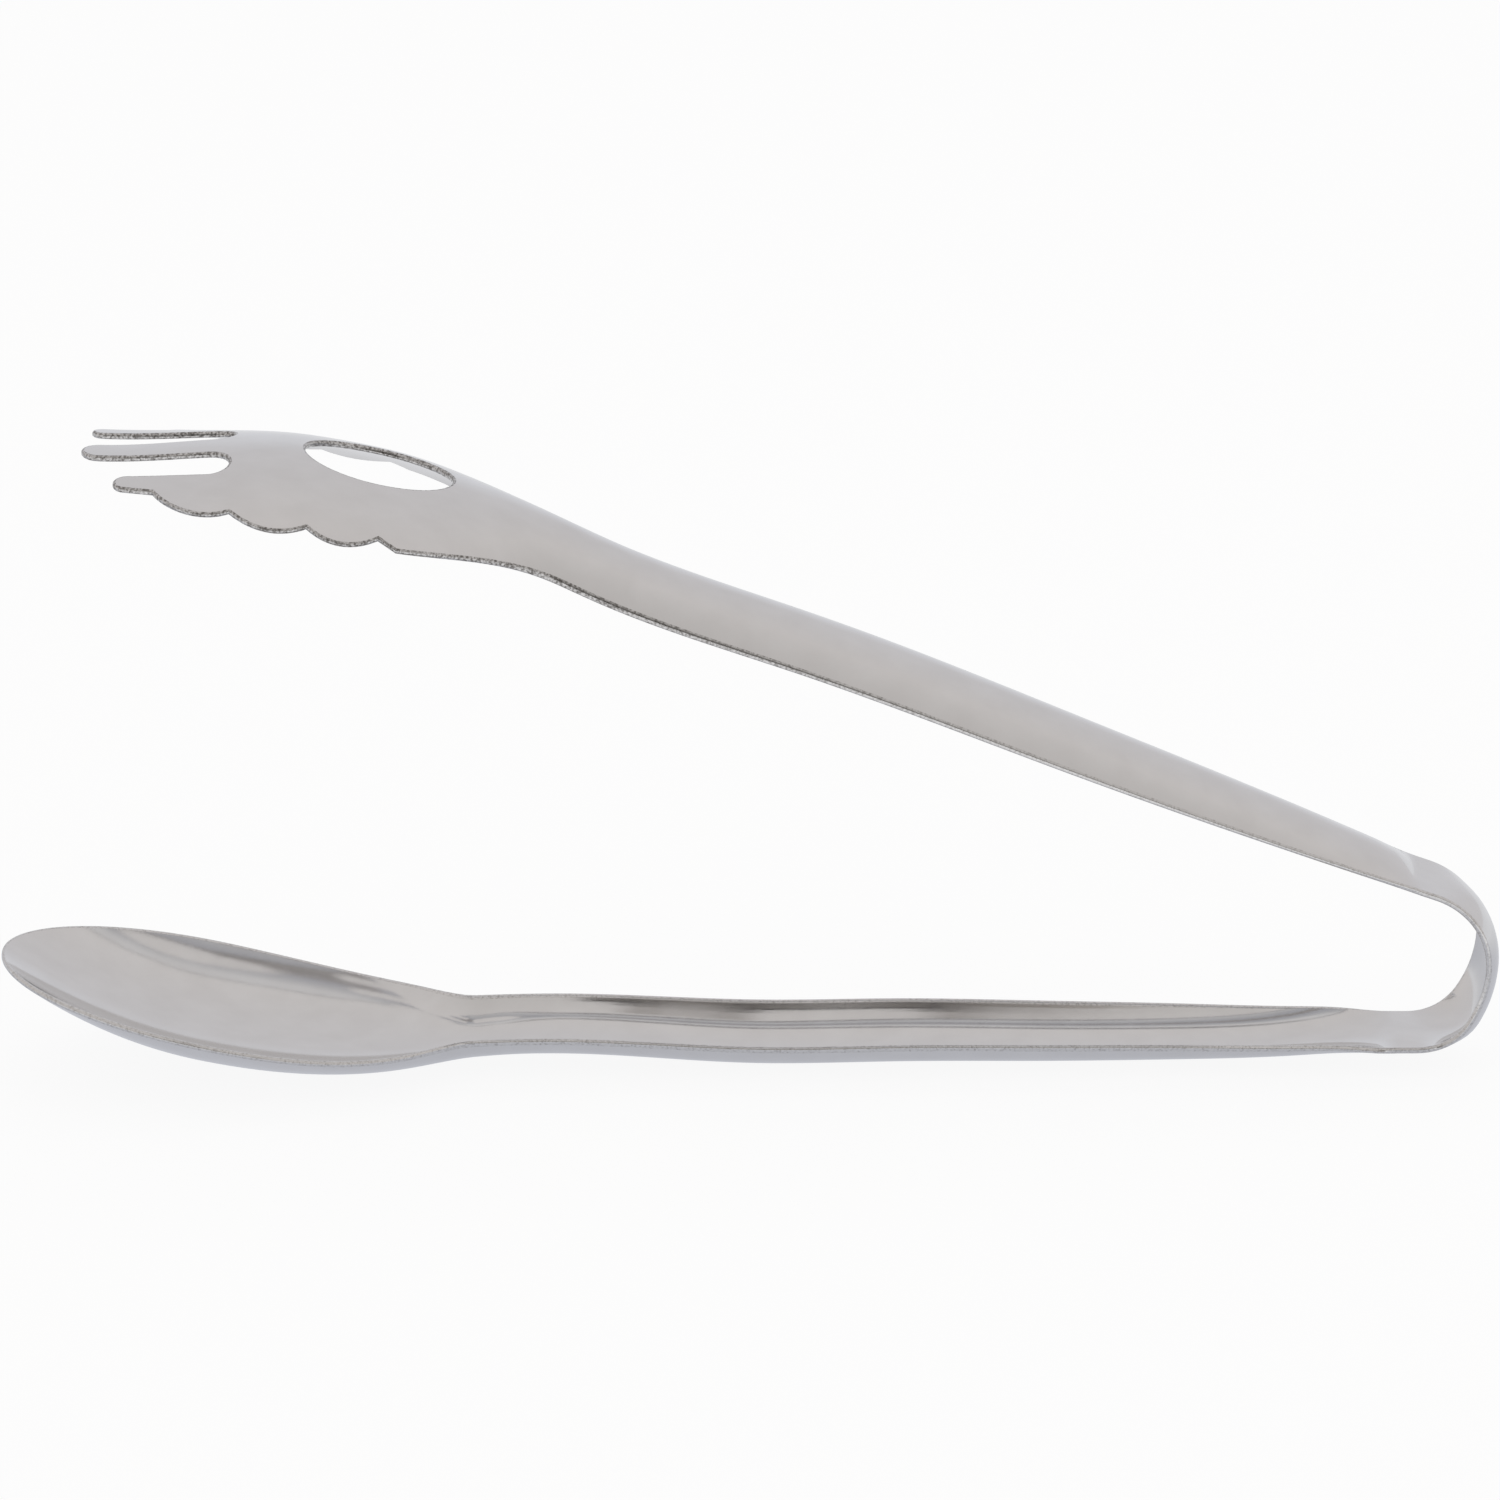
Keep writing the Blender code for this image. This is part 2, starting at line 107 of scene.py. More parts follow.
# Fork arm
FORK_LENGTH = 0.2204
HEAD_WIDTH = 0.0389
HEAD_FRONT = 0.0333
HEAD_BACK = 0.0416
HEAD_SHOULDER = 0.0302
HEAD_DEPTH = 0.0067
HEAD_MOUTH = 0.0357
TIP_DEPTH = 0.0027
FORK_RISE = 0.0062
FORK_RISE_PLACE_SHARES = (0, 0.093, 0.276, 0.48, 0.631, 0.685, 0.754, 0.881, 1)
FORK_RISE_SHARES = (0, -0.028, -0.231, -0.516, -0.628, -0.84, -0.862, -0.192, 0.854)

# Tines, scallops and drain hole
TINE_LENGTH = 0.0222
NEAR_TINE_SETBACK = 0.0057
FAR_TINE_SETBACK = 0.0006
SLOT_WIDTH = 0.0063
MIDDLE_TINE_WIDTH = 0.0062
MIDDLE_TIP_WIDTH = 0.0054
OUTER_TINE_WIDTH = 0.0038
SCALLOP_START = 0.0117
SCALLOP_PITCH = 0.0116
SCALLOP_BULGE = 0.0017
SCALLOP_PLACE_SHARES = (0, 1, 2, 2.93, 3.9)
SCALLOP_WIDTH_SHARES = (0.71, 0.8865, 0.9376, 0.928, 0.95)
SCALLOP_BULGE_SHARES = (1.35, 1, 1, 0.55)
HOLE_LENGTH = 0.0221
HOLE_WIDTH = 0.0150
HOLE_PLACE = 0.0439

# Mesh
ROW_STEP = 0.0016
BOW_ROW_STEP = 0.0009
HEAD_STEP = 0.0014
RIM_STEP = 0.0007
FACE_COLUMNS = 26
EDGE_STEPS = 4
SHOULDER_START_SHARE = 0.70
PROBE = 0.00002

# Lattice over a head: the share of its step between rows and the least share to the outline
LATTICE_ROW_SHARE = 0.87
LATTICE_CLEAR_SHARE = 0.55

# Points on a curve before it is spaced evenly, and the sharpest corner that an inset follows, as a cosine
ARC_POINTS = 60
ROUND_POINTS = 400
CORNER_LIMIT = 0.7

# Scale of the grain's map, and of the plan while it is triangulated
MAP_SCALE = 10
PLAN_SCALE = 1000
PLAN_TOLERANCE = 1e-6

# Where the inner face lies at the lower flex line, in the frame
NECK_ROOT = (0.10442, 0.005312)

# Camera
CAMERA_PLACE = (0.00023, -0.90522, 0.42319)
CAMERA_ELEVATION = 22.218
CAMERA_LENS = 149.8
SENSOR = 36.0

# Polished faces: noise scales along and across the strip, and ramps from the noise to colour and roughness
CLOUD_SCALE = (16, 26)
GRAIN_SCALE = (45, 1500)
SCRATCH_SCALE = (70, 2600)
CLOUD_DETAIL = 3
GRAIN_DETAIL = 3
SCRATCH_DETAIL = 2
STEEL_STOPS = ((0.30, (0.700, 0.690, 0.682)), (0.70, (0.735, 0.727, 0.720)))
STEEL_ROUGHNESS_STOPS = ((0.30, 0.07), (0.70, 0.12))
SCRATCH_BUMP = (0.05, 0.00002)

# Cut edges: the second colours take over between two heights, so that the fork's head has a darker edge,
# which is painted shade
PIT_SCALE = 2600
PIT_DETAIL = 3
EDGE_STOPS = ((0.30, (0.50, 0.485, 0.47)), (0.48, (0.66, 0.65, 0.64)), (0.70, (0.72, 0.71, 0.70)))
PAINTED_SHADE_HEAD_EDGE_STOPS = ((0.36, (0.18, 0.17, 0.16)), (0.50, (0.44, 0.43, 0.42)), (0.64, (0.66, 0.65, 0.64)))
PAINTED_SHADE_EDGE_HEIGHTS = (0.055, 0.085)
EDGE_ROUGHNESS_STOPS = ((0.30, 0.22), (0.70, 0.10))
PIT_BUMP = (0.12, 0.00003)

# Studio: the world's colour runs with the direction's Y from the front to the back
MATT = 0.9
FLOOR_SIZE = 12.0
FLOOR_COLOUR = (0.90, 0.90, 0.90, 1)
FLOOR_SPECULAR = 0.1
FLOOR_GLOW = 0.90
WHITE = (1, 1, 1, 1)
WORLD_STOPS = (
    (0.00, (0.12, 0.11, 0.10)),
    (0.015, (0.20, 0.19, 0.18)),
    (0.05, (0.62, 0.60, 0.59)),
    (0.50, (0.72, 0.695, 0.69)),
    (0.93, (0.70, 0.69, 0.71)),
    (1.00, (0.76, 0.77, 0.81)),
)

# Lamps: name, place, target, size, energy and colour
LAMPS = (
    ("key", (-0.75, -0.85, 1.25), (0, 0, 0.04), (1.5, 1.1), 3.2, (1.0, 0.985, 0.965)),
    ("fill", (1.25, -0.25, 0.75), (0, 0, 0.04), (0.9, 1.2), 1.8, (0.96, 0.98, 1.0)),
    ("top", (0.05, 0.45, 1.45), (0, 0, 0.04), (1.6, 1.0), 3.0, (0.98, 0.99, 1.0)),
)

# What the metal mirrors of the floor, from 10 cm in front of the strip's middle to 10 cm behind it, with
# painted shade: darker under the object, paler away from it
FLOOR_MIRROR_REACH = (-0.10, 0.10)
FLOOR_MIRROR_PAINTED_SHADE_STOPS = (
    (0.00, (0.98, 0.98, 1.0)),
    (0.175, (0.80, 0.81, 0.84)),
    (0.35, (0.60, 0.615, 0.67)),
    (0.65, (0.60, 0.615, 0.67)),
    (0.825, (0.70, 0.71, 0.74)),
    (1.00, (0.78, 0.79, 0.82)),
)

# Cards over the camera: name, sides along X, elevations in degrees, distance from the X axis and colour
CARD_STEPS = 9
CARD_GREY = (0.34, 0.32, 0.30)
CARD_BROWN = (0.42, 0.38, 0.34)
CARD_BLACK = (0.03, 0.028, 0.026)
CARDS = (
    ("grey_card_right", (0.042, 0.066), (41, 76), 0.90, CARD_GREY),
    ("grey_card_left", (-0.010, 0.042), (41, 56), 0.90, CARD_GREY),
    ("brown_card", (0.066, 0.085), (41, 50), 0.90, CARD_BROWN),
    ("black_card_right", (0.030, 0.044), (43, 62), 0.89, CARD_BLACK),
    ("black_card_left", (-0.010, -0.0005), (41, 58), 0.89, CARD_BLACK),
    ("black_card_low", (-0.010, 0.024), (41, 45), 0.88, CARD_BLACK),
    ("black_card_high", (-0.003, 0.042), (54, 56), 0.88, CARD_BLACK),
)


# Curves


def smooth_curve(places, values):
    """The cubic spline through the places, level at its start. Gives the value and the slope at a place."""
    x = np.array(places, float)
    y = np.array(values, float)
    step = np.diff(x)
    slope = np.diff(y) / step
    count = len(x)
    system = np.zeros((count, count))
    right = np.zeros(count)
    system[0, 0] = 1
    for i in range(1, count - 1):
        system[i, i - 1] = step[i]
        system[i, i] = 2 * (step[i - 1] + step[i])
        system[i, i + 1] = step[i - 1]
        right[i] = 3 * (step[i] * slope[i - 1] + step[i - 1] * slope[i])
    system[-1, -2:] = 1, 2
    right[-1] = 3 * slope[-1]
    tangent = np.linalg.solve(system, right)

    def curve(place):
        inside = np.clip(place, x[0], x[-1])
        i = np.clip(np.searchsorted(x, inside, side="right") - 1, 0, count - 2)
        t = (inside - x[i]) / step[i]
        bend = tangent[i] * (1 - t) - tangent[i + 1] * t
        value = y[i] + (y[i + 1] - y[i]) * t * t * (3 - 2 * t) + step[i] * t * (1 - t) * bend
        lean = tangent[i] * (1 - t) * (1 - 3 * t) + tangent[i + 1] * t * (3 * t - 2)
        run_on = 6 * slope[i] * t * (1 - t) + lean
        return value + (place - inside) * run_on, run_on

    return curve


def ease(share):
    share = np.clip(share, 0, 1)
    return share * share * (3 - 2 * share)


def wider(first, second, fillet):
    """The larger of two widths, with a fillet where they cross."""
    close = np.clip(1 - np.abs(first - second) / fillet, 0, 1)
    return np.maximum(first, second) + fillet / 4 * close**2


# The strip as a surface


class Strip:
    """line gives x, z and the direction's angle at a place. half, depth and bend give the section there."""

    def __init__(self, line, half, depth, bend, outward, begin, way):
        self.line = line
        self.half = half
        self.depth = depth
        self.bend = bend
        self.outward = outward
        self.begin = begin
        self.way = way

    def point(self, place, across, through):
        """Points of the sheet, with through in metres outwards from its inner face."""
        x, z, angle = self.line(place)
        rise = self.bend(place) * across
        level = np.sqrt(np.clip(1 - rise * rise, 0, 1))
        away = self.depth(place) - rise * across / (1 + level) + through * level
        out_x = -self.outward * np.sin(angle)
        out_z = self.outward * np.cos(angle)
        return np.stack([x + away * out_x, across + through * rise, z + away * out_z], axis=-1)

    def press(self, plan, plan_normal):
        """Takes points and normals of the flat sheet to the pressed one."""
        place, across, through = np.asarray(plan, float).T
        shifts = []
        for axis in range(3):
            step = [0, 0, 0]
            step[axis] = PROBE
            ahead = self.point(place + step[0], across + step[1], through + step[2])
            behind = self.point(place - step[0], across - step[1], through - step[2])
            shifts.append((ahead - behind) / (2 * PROBE))
        along, sideways, out = shifts
        weight = np.asarray(plan_normal, float)
        normal = weight[:, :1] * np.cross(sideways, out)
        normal += weight[:, 1:2] * np.cross(out, along)
        normal += weight[:, 2:] * np.cross(along, sideways)
        normal *= np.sign(np.einsum("ij,ij->i", np.cross(along, sideways), out))[:, None]
        normal /= np.linalg.norm(normal, axis=1)[:, None]
        return self.point(place, across, through), normal


def plain_bend(half, depth):
    def bend(place):
        return 2 * depth(place) / (half(place) ** 2 + depth(place) ** 2)

    return bend


def arm_line(root, heading, rise, turn):
    def line(place):
        height, slope = rise(place)
        x = root[0] + place * math.cos(heading) - turn * height * math.sin(heading)
        z = root[1] + place * math.sin(heading) + turn * height * math.cos(heading)
        return x, z, heading + turn * np.arctan(slope)

    return line


def arm_rise(length, place_shares, shares, rise):
    places = np.array(place_shares) * (length - NECK_FLAT) + NECK_FLAT
    return smooth_curve(places, np.array(shares) * rise)


def handle_half_width(length):
    places = [NECK_FLAT]
    for share in (TAPER_PLACE_SHARE, GRIP_PLACE_SHARE, WAIST_PLACE_SHARE, HEAD_PLACE_SHARE):
        places.append(share * length)
    widths = (NECK_WIDTH, TAPER_WIDTH, GRIP_WIDTH, WAIST_WIDTH, WAIST_WIDTH)
    curve = smooth_curve(places, np.array(widths) / 2)
    return lambda place: curve(np.clip(place, places[0], places[-1]))[0]


def channel_depth(place, length, grip, waist, run_in):
    run = np.clip(place - NECK_FLAT, 0, None)
    bend = WAIST_BEND_SHARE * length
    turn = ease((place - bend) / (WAIST_PLACE_SHARE * length - bend))
    neck = NECK_DEPTH * ease(run / NECK_RUN_IN)
    press = (1 - np.exp(-run / run_in)) * ease(run / CHANNEL_LEAD)
    return neck + (grip + (waist - grip) * turn - NECK_DEPTH) * press


def spoon_strip(root):
    handle = handle_half_width(SPOON_LENGTH)
    centre = SPOON_LENGTH - BOWL_FRONT
    rise = arm_rise(SPOON_LENGTH, SPOON_RISE_PLACE_SHARES, SPOON_RISE_SHARES, SPOON_RISE)

    def front(place):
        return 1 - (np.clip(place - centre, 0, None) / BOWL_FRONT) ** 2

    def half(place):
        back = np.sqrt(np.clip(1 - ((centre - place) / BOWL_BACK) ** 2, 0, 1))
        joined = wider(handle(place), BOWL_WIDTH / 2 * back, SHOULDER_FILLET)
        return np.where(place > centre, BOWL_WIDTH / 2 * np.sqrt(np.clip(front(place), 0, 1)), joined)

    def depth(place):
        depths = (SPOON_GRIP_DEPTH, SPOON_WAIST_DEPTH)
        handle_depth = channel_depth(place, SPOON_LENGTH, *depths, SPOON_RUN_IN)
        mouth = ease((place - centre + BOWL_MOUTH) / BOWL_MOUTH)
        return handle_depth + (BOWL_DEPTH * front(place) - handle_depth) * mouth

    def bend(place):
        ball = 2 * BOWL_DEPTH / ((BOWL_WIDTH / 2) ** 2 + BOWL_DEPTH**2 * front(place))
        behind = np.minimum(place, centre)
        return np.where(place > centre, ball, plain_bend(half, depth)(behind))

    return Strip(arm_line(root, math.pi, rise, -1), half, depth, bend, 1, 0, -1)


def fork_strip(root):
    handle = handle_half_width(FORK_LENGTH)
    centre = FORK_LENGTH - HEAD_FRONT
    rise = arm_rise(FORK_LENGTH, FORK_RISE_PLACE_SHARES, FORK_RISE_SHARES, FORK_RISE)

    def half(place):
        shoulder = ease((place - centre + HEAD_BACK) / HEAD_SHOULDER)
        return handle(place) + (HEAD_WIDTH / 2 - handle(place)) * shoulder

    def depth(place):
        depths = (FORK_GRIP_DEPTH, FORK_WAIST_DEPTH)
        handle_depth = channel_depth(place, FORK_LENGTH, *depths, FORK_RUN_IN)
        mouth = ease((place - centre + HEAD_MOUTH) / HEAD_MOUTH)
        front = ease((place - centre) / HEAD_FRONT)
        return handle_depth + (HEAD_DEPTH - handle_depth) * mouth + (TIP_DEPTH - HEAD_DEPTH) * front

    heading = math.pi - math.radians(ARM_SPREAD_ANGLE)
    return Strip(arm_line(root, heading, rise, 1), half, depth, plain_bend(half, depth), -1, BOW_LENGTH, 1)


def bow_turns():
    """The radius and the length of each stretch, from the lower neck to the upper neck."""
    last = 180 - ARM_SPREAD_ANGLE - LOWER_BEND_ANGLE - BACK_ANGLE
    return (
        (math.inf, NECK_FLAT),
        (LOWER_BEND_RADIUS, LOWER_BEND_RADIUS * math.radians(LOWER_BEND_ANGLE)),
        (BACK_RADIUS, BACK_RADIUS * math.radians(BACK_ANGLE)),
        (UPPER_BEND_RADIUS, UPPER_BEND_RADIUS * math.radians(last)),
        (math.inf, NECK_FLAT),
    )


BOW_LENGTH = sum(length for _, length in bow_turns())


def bow_line(root):
    """The bow's edge line, which runs straight on beyond both flex lines into the arms' necks."""

    def line(place):
        place = np.asarray(place, float)
        x = root[0] + np.minimum(place, 0)
        z = np.full(place.shape, float(root[1]))
        angle = np.zeros(place.shape)
        start = 0
        for radius, length in bow_turns():
            run = np.clip(place - start, 0, length)
            chord = run * np.sinc(run / radius / (2 * math.pi))
            x = x + chord * np.cos(angle + run / radius / 2)
            z = z + chord * np.sin(angle + run / radius / 2)
            angle = angle + run / radius
            start += length
        beyond = np.maximum(place - start, 0)
        return x + beyond * np.cos(angle), z + beyond * np.sin(angle), angle

    return line


def bow_strip(root):
    def from_neck(place):
        return ease((np.minimum(place, BOW_LENGTH - place) - NECK_FLAT) / BOW_RUN_IN)

    def half(place):
        return (NECK_WIDTH + (BOW_WIDTH - NECK_WIDTH) * from_neck(place)) / 2

    def depth(place):
        middle = LOWER_BOW_DEPTH + (UPPER_BOW_DEPTH - LOWER_BOW_DEPTH) * ease(place / BOW_LENGTH)
        return middle * from_neck(place)

    return Strip(bow_line(root), half, depth, plain_bend(half, depth), -1, 0, 1)


# Rounded cut edge, as seen in the sheet's section


def edge_profile():
    """Distances in from the outline, depths through the sheet and normals, from inner to outer face."""
    turns = np.linspace(0, math.pi / 2, EDGE_STEPS + 1)
    inner = [(1 - math.sin(a), 1 - math.cos(a), math.sin(a), -math.cos(a)) for a in turns]
    profile = [(EDGE_RADIUS * i, EDGE_RADIUS * t, side, face) for i, t, side, face in inner]
    profile += [(i, SHEET - t, side, -face) for i, t, side, face in profile[::-1]]
    return profile


PROFILE = edge_profile()


class Builder:
    """Collects the pressed vertices, normals and faces of one piece."""

    def __init__(self, strip):
        self.strip = strip
        self.points = []
        self.normals = []
        self.maps = []
        self.faces = []
        self.marks = []
        self.count = 0

    def add(self, plan, plan_normal):
        plan = np.asarray(plan, float)
        points, normals = self.strip.press(plan, plan_normal)
        self.points.append(points)
        self.normals.append(normals)
        spot = plan[:, :2] * (self.strip.way, 1) + (self.strip.begin, 0)
        self.maps.append(spot * MAP_SCALE)
        first = self.count
        self.count += len(points)
        return np.arange(first, self.count)

    def band(self, one, other, mark, closed=False):
        """Quads between two rows of as many vertices."""
        if closed:
            one, other = np.append(one, one[0]), np.append(other, other[0])
        for a, b, c, d in zip(one[:-1], one[1:], other[1:], other[:-1]):
            self.faces.append((int(a), int(b), int(c), int(d)))
            self.marks.append(mark)

    def make(self, name, materials):
        points = np.concatenate(self.points)
        normals = np.concatenate(self.normals)
        spots = np.concatenate(self.maps)
        faces = []
        for face in self.faces:
            corner = points[list(face)]
            facing = np.cross(corner[2] - corner[0], corner[-1] - corner[1])
            faces.append(face if facing @ normals[list(face)].sum(axis=0) > 0 else face[::-1])
        mesh = bpy.data.meshes.new(name)
        mesh.from_pydata(points.tolist(), [], faces)
        for material in materials:
            mesh.materials.append(material)
        mesh.polygons.foreach_set("material_index", self.marks)
        corners = np.concatenate([np.array(face) for face in faces])
        grain = mesh.uv_layers.new(name="strip")
        grain.uv.foreach_set("vector", spots[corners].ravel())
        mesh.shade_smooth()
        mesh.normals_split_custom_set_from_vertices(normals.tolist())
        piece = bpy.data.objects.new(name, mesh)
        bpy.context.scene.collection.objects.link(piece)
        return piece


def half_slope(strip, place):
    return float(strip.half(place + PROBE) - strip.half(place - PROBE)) / (2 * PROBE)


def section_loop(strip, place):
    """A row's closed loop round the sheet: inner face, one cut edge, outer face, other cut edge."""
    half = float(strip.half(place))
    slope = half_slope(strip, place)
    stretch = math.hypot(1, slope)
    out_place, out_side = -slope / stretch, 1 / stretch
    side = half - EDGE_RADIUS * out_side
    spot = place - EDGE_RADIUS * out_place
    face = np.linspace(-1, 1, FACE_COLUMNS + 1)[1:-1] * side
    plan = [(spot, a, 0) for a in face]
    normal = [(0, 0, -1)] * len(face)
    plan += [(place - i * out_place, half - i * out_side, t) for i, t, _, _ in PROFILE]
    normal += [(s * out_place, s * out_side, up) for _, _, s, up in PROFILE]
    plan += [(spot, a, SHEET) for a in face[::-1]]
    normal += [(0, 0, 1)] * len(face)
    plan += [(place - i * out_place, i * out_side - half, t) for i, t, _, _ in PROFILE[::-1]]
    normal += [(s * out_place, -s * out_side, up) for _, _, s, up in PROFILE[::-1]]
    return np.array(plan), np.array(normal)


def sweep(builder, places):
    """The strip's rounded section, carried along the places. Gives the last row and its plan."""
    count = FACE_COLUMNS - 1
    around = 2 * count + 2 * len(PROFILE)
    edge = set(range(count, count + len(PROFILE) - 1))
    edge |= set(range(2 * count + len(PROFILE), around - 1))
    before = None
    for place in places:
        plan, normal = section_loop(builder.strip, place)
        row = builder.add(plan, normal)
        if before is not None:
            for k in range(around):
                after = (k + 1) % around
                builder.band(before[[k, after]], row[[k, after]], int(k in edge))
        before = row
    return before, plan


def inside(points, loop):
    """Whether points lie within a closed loop."""
    found = np.zeros(len(points), bool)
    for (x0, y0), (x1, y1) in zip(loop, np.roll(loop, -1, axis=0)):
        crosses = (points[:, 1] < y0) != (points[:, 1] < y1)
        reach = x0 + (points[:, 1] - y0) / (y1 - y0 if y1 != y0 else 1) * (x1 - x0)
        found ^= crosses & (points[:, 0] < reach)
    return found


def left_normals(line, closed):
    """Unit normals to the left of the way along the line, and how much a corner stretches an inset."""
    step = np.diff(line, axis=0, append=line[:1])
    step /= np.linalg.norm(step, axis=1)[:, None]
    ahead, behind = step, np.roll(step, 1, axis=0)
    if not closed:
        ahead[-1], behind[0] = behind[-1], ahead[0]
    way = ahead + behind
    way /= np.linalg.norm(way, axis=1)[:, None]
    stretch = 1 / np.clip(np.einsum("ij,ij->i", way, ahead), CORNER_LIMIT, 1)
    return np.stack([-way[:, 1], way[:, 0]], axis=1), stretch


def plate(builder, last_row, last_plan, rim, holes):
    """The head beyond the last row: rim runs round it from +Y to -Y, and each hole is a closed loop."""
    count = FACE_COLUMNS - 1
    depth = len(PROFILE)
    inner, plus = np.arange(count), np.arange(count, count + depth)
    outer = np.arange(count + depth, 2 * count + depth)[::-1]
    minus = np.arange(2 * count + depth, 2 * count + 2 * depth)[::-1]
    outlines = []
    for line, closed in [(rim, False)] + [(hole, True) for hole in holes]:
        out, stretch = left_normals(line, closed)
        body = slice(None) if closed else slice(1, -1)
        rings, plans = [], []
        for k, (inset, through, side, up) in enumerate(PROFILE):
            spot = (line - out * (inset * stretch)[:, None])[body]
            plan = np.column_stack([spot, np.full(len(spot), through)])
            normal = np.column_stack([out[body] * side, np.full(len(spot), up)])
            ring = builder.add(plan, normal)
            if not closed:
                ring = np.concatenate([last_row[plus[k : k + 1]], ring, last_row[minus[k : k + 1]]])
                spot = np.vstack([last_plan[plus[k], :2], spot, last_plan[minus[k], :2]])
            rings.append(ring)
            plans.append(spot)
        for one, other in zip(rings[:-1], rings[1:]):
            builder.band(one, other, 1, closed)
        outlines.append((plans[0], rings[0], rings[-1]))

    # Both faces: one triangulation of a lattice within the outlines, closed along the last row
    border = np.vstack([outlines[0][0], last_plan[inner, :2]])
    loops = [border] + [plan for plan, _, _ in outlines[1:]]
    every = np.vstack(loops)
    start = last_plan[inner, 0].max()
    reach = np.arange(start, border[:, 0].max(), HEAD_STEP * LATTICE_ROW_SHARE)
    span = np.arange(border[:, 1].min(), border[:, 1].max(), HEAD_STEP)
    lattice = np.stack(np.meshgrid(reach, span, indexing="ij"), axis=-1)
    lattice[1::2, :, 1] += HEAD_STEP / 2
    lattice = lattice.reshape(-1, 2)
    keep = inside(lattice, border)
    for loop in loops[1:]:
        keep &= ~inside(lattice, loop)
    near = np.linalg.norm(lattice[:, None] - every[None], axis=2).min(axis=1)
    lattice = lattice[keep & (near > HEAD_STEP * LATTICE_CLEAR_SHARE)]
    plan = np.vstack([every, lattice])
    edges = []
    first = 0
    for loop in loops:
        ids = np.arange(first, first + len(loop))
        edges += list(zip(ids.tolist(), np.roll(ids, -1).tolist()))
        first += len(loop)
    corners = [Vector(spot) for spot in (plan * PLAN_SCALE).tolist()]
    found = delaunay_2d_cdt(corners, edges, [], 0, PLAN_TOLERANCE)
    source = np.array([ids[0] if ids else -1 for ids in found[3]])
    if (source < 0).any():
        raise RuntimeError("the head's outline crosses itself")
    triangles = source[np.array(found[2])]
    middle = plan[triangles].mean(axis=1)
    wanted = inside(middle, border)
    for loop in loops[1:]:
        wanted &= ~inside(middle, loop)
    faces = [(0, -1, inner, 1), (SHEET, 1, outer, 2)]
    for through, up, seam, ring in faces:
        flat = np.column_stack([lattice, np.full(len(lattice), through)])
        added = builder.add(flat, np.tile((0, 0, up), (len(flat), 1)))
        ids = [outlines[0][ring], last_row[seam]] + [outline[ring] for outline in outlines[1:]] + [added]
        ids = np.concatenate(ids)
        builder.faces += [tuple(int(i) for i in ids[triangle]) for triangle in triangles[wanted]]
        builder.marks += [0] * int(wanted.sum())


# Outlines of the two heads


def resample(points, step):
    """Points spaced evenly along a line, without its last one."""
    points = np.asarray(points, float)
    reach = np.concatenate([[0], np.cumsum(np.linalg.norm(np.diff(points, axis=0), axis=1))])
    marks = np.linspace(0, reach[-1], max(int(round(reach[-1] / step)), 1) + 1)[:-1]
    return np.stack([np.interp(marks, reach, points[:, k]) for k in range(2)], axis=1)


def arc(start, end, bulge):
    """The arc that bulges to the left of the way from start to end."""
    start, end = np.array(start), np.array(end)
    chord = end - start
    half = np.linalg.norm(chord) / 2
    along = chord / (2 * half)
    left = np.array([-along[1], along[0]])
    radius = (half * half + bulge * bulge) / (2 * bulge)
    turn = math.asin(min(abs(half / radius), 1)) * math.copysign(1, radius)
    turns = np.linspace(-turn, turn, ARC_POINTS)
    centre = (start + end) / 2 + left * (bulge - radius)
    return centre + radius * (np.outer(np.sin(turns), along) + np.outer(np.cos(turns), left))


def spoon_rim():
    centre = SPOON_LENGTH - BOWL_FRONT
    turns = np.linspace(math.pi / 2, -math.pi / 2, ROUND_POINTS)
    egg = np.stack([centre + BOWL_FRONT * np.cos(turns), BOWL_WIDTH / 2 * np.sin(turns)], axis=1)
    return np.vstack([resample(egg, RIM_STEP), egg[-1]])


def fork_side(strip, start, tine_setback):
    """One side of the fork's outline at +Y, as runs from the handle to the middle tine's tip."""
    cusps = []
    for place_share, share in zip(SCALLOP_PLACE_SHARES, SCALLOP_WIDTH_SHARES):
        cusps.append((FORK_LENGTH - SCALLOP_START - place_share * SCALLOP_PITCH, share * HEAD_WIDTH / 2))
    cusps.reverse()
    bulges = [share * SCALLOP_BULGE for share in SCALLOP_BULGE_SHARES[::-1]]
    lobe = arc(cusps[0], cusps[1], bulges[0])
    lobe = lobe[lobe[:, 1] < strip.half(lobe[:, 0])]
    lobe = lobe[lobe[:, 0] > (cusps[0][0] + cusps[1][0]) / 2]
    places = np.linspace(start, lobe[0, 0], ARC_POINTS)
    runs = [np.stack([places, strip.half(places)], axis=1), lobe]
    runs += [arc(*ends) for ends in zip(cusps[1:-1], cusps[2:], bulges[1:])]
    middle_side = MIDDLE_TINE_WIDTH / 2
    inner_side = middle_side + SLOT_WIDTH
    outer_side = inner_side + OUTER_TINE_WIDTH
    tip = FORK_LENGTH - tine_setback - OUTER_TINE_WIDTH / 2
    slot_end = FORK_LENGTH - TINE_LENGTH + SLOT_WIDTH / 2
    runs.append(np.array([cusps[-1], (tip, outer_side)]))
    runs.append(arc((tip, outer_side), (tip, inner_side), OUTER_TINE_WIDTH / 2))
    runs.append(np.array([(tip, inner_side), (slot_end, inner_side)]))
    runs.append(arc((slot_end, inner_side), (slot_end, middle_side), -SLOT_WIDTH / 2))
    end = (FORK_LENGTH - MIDDLE_TIP_WIDTH / 2, MIDDLE_TIP_WIDTH / 2)
    runs.append(np.array([(slot_end, middle_side), end]))
    return runs


